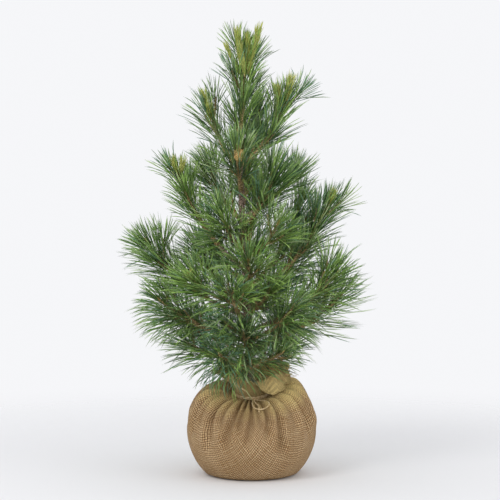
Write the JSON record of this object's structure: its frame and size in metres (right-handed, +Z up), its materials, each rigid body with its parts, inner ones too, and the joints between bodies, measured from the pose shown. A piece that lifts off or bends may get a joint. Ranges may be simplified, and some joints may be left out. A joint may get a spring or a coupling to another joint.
{
  "type": "pine sapling with root ball",
  "caption": "Young long-needled pine sapling, about 0.9 m tall, standing on a soil root ball wrapped in burlap and tied at the neck with twine",
  "frame": {"origin": "centre of the flat underside of the root ball, on the ground", "axes": "+Z up along the trunk; the front, where the burlap is gathered lowest and the twine is knotted, faces -Y"},
  "size_m": [0.4961, 0.3866, 0.883],
  "materials": {
    "bark": "scaly grey-brown bark, matte",
    "shoot_bark": "rough young bark, matte",
    "needles": "slightly waxy green needles",
    "burlap": "coarse open jute weave, matte",
    "soil": "dark moist potting soil, matte",
    "twine": "twisted jute, matte"
  },
  "bodies": {
    "root": {"root_ball_soil": "soil", "root_ball_burlap": "burlap", "twine_tie": "twine", "trunk": "bark", "bough_high_right_back": "shoot_bark", "bough_tall_back": "shoot_bark", "bough_tall_left": "shoot_bark", "bough_mid_front": "shoot_bark", "bough_tall_right": "shoot_bark", "bough_mid_back_right": "shoot_bark", "bough_mid_left_front": "shoot_bark", "bough_mid_back_left": "shoot_bark", "bough_wide_left": "shoot_bark", "bough_long_front": "shoot_bark", "bough_wide_right": "shoot_bark", "bough_low_right_front": "shoot_bark", "bough_low_left": "shoot_bark", "bough_far_right": "shoot_bark", "bough_low_back_right": "shoot_bark", "bough_low_back_left": "shoot_bark", "needles_leader": "needles", "needles_upper_right": "needles", "needles_upper_left": "needles", "needles_upper_back": "needles", "needles_upper_front": "needles", "needles_high_back": "needles", "needles_high_right_back": "needles", "needles_high_left_back": "needles", "needles_high_right_front": "needles", "needles_high_left_front": "needles", "needles_front_right": "needles", "needles_tall_back": "needles", "needles_tall_left": "needles", "needles_back_high": "needles", "needles_inner_left": "needles", "needles_tall_right_inner": "needles", "needles_mid_front": "needles", "needles_tall_right": "needles", "needles_mid_back_right": "needles", "needles_mid_left_front": "needles", "needles_mid_back_left": "needles", "needles_inner_right": "needles", "needles_inner_front": "needles", "needles_wide_left": "needles", "needles_back_low": "needles", "needles_long_front": "needles", "needles_wide_right": "needles", "needles_inner_low_left": "needles", "needles_low_right_front": "needles", "needles_low_left": "needles", "needles_far_right": "needles", "needles_inner_low_front": "needles", "needles_low_back_right": "needles", "needles_inner_low_right": "needles", "needles_low_back_left": "needles", "needles_foot_front_right": "needles", "needles_foot_left": "needles", "needles_foot_right": "needles", "needles_foot_front_left": "needles", "needles_foot_front": "needles"}
  },
  "joints": []
}
